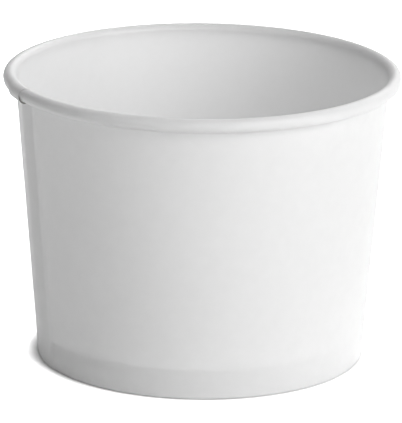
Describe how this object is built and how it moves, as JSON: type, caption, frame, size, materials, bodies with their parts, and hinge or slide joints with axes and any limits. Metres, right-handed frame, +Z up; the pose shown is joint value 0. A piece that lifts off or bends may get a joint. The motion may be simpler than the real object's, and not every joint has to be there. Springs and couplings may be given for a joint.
{
  "type": "paper sundae cup",
  "caption": "Squat round tapered paper cup for ice cream, with a rolled rim, a lapped side seam and a recessed bottom.",
  "frame": {"origin": "centre of the foot, on the surface that the cup stands on", "axes": "+Z up along the cup's axis, -Y towards the picture's camera, +X to its right; the side seam lies left of the front"},
  "size_m": [0.097, 0.097, 0.0712],
  "materials": {
    "wall_board": "satin",
    "bottom_board": "satin"
  },
  "bodies": {
    "root": {"side_wall": "wall_board", "bottom_disc": "bottom_board"}
  },
  "joints": []
}
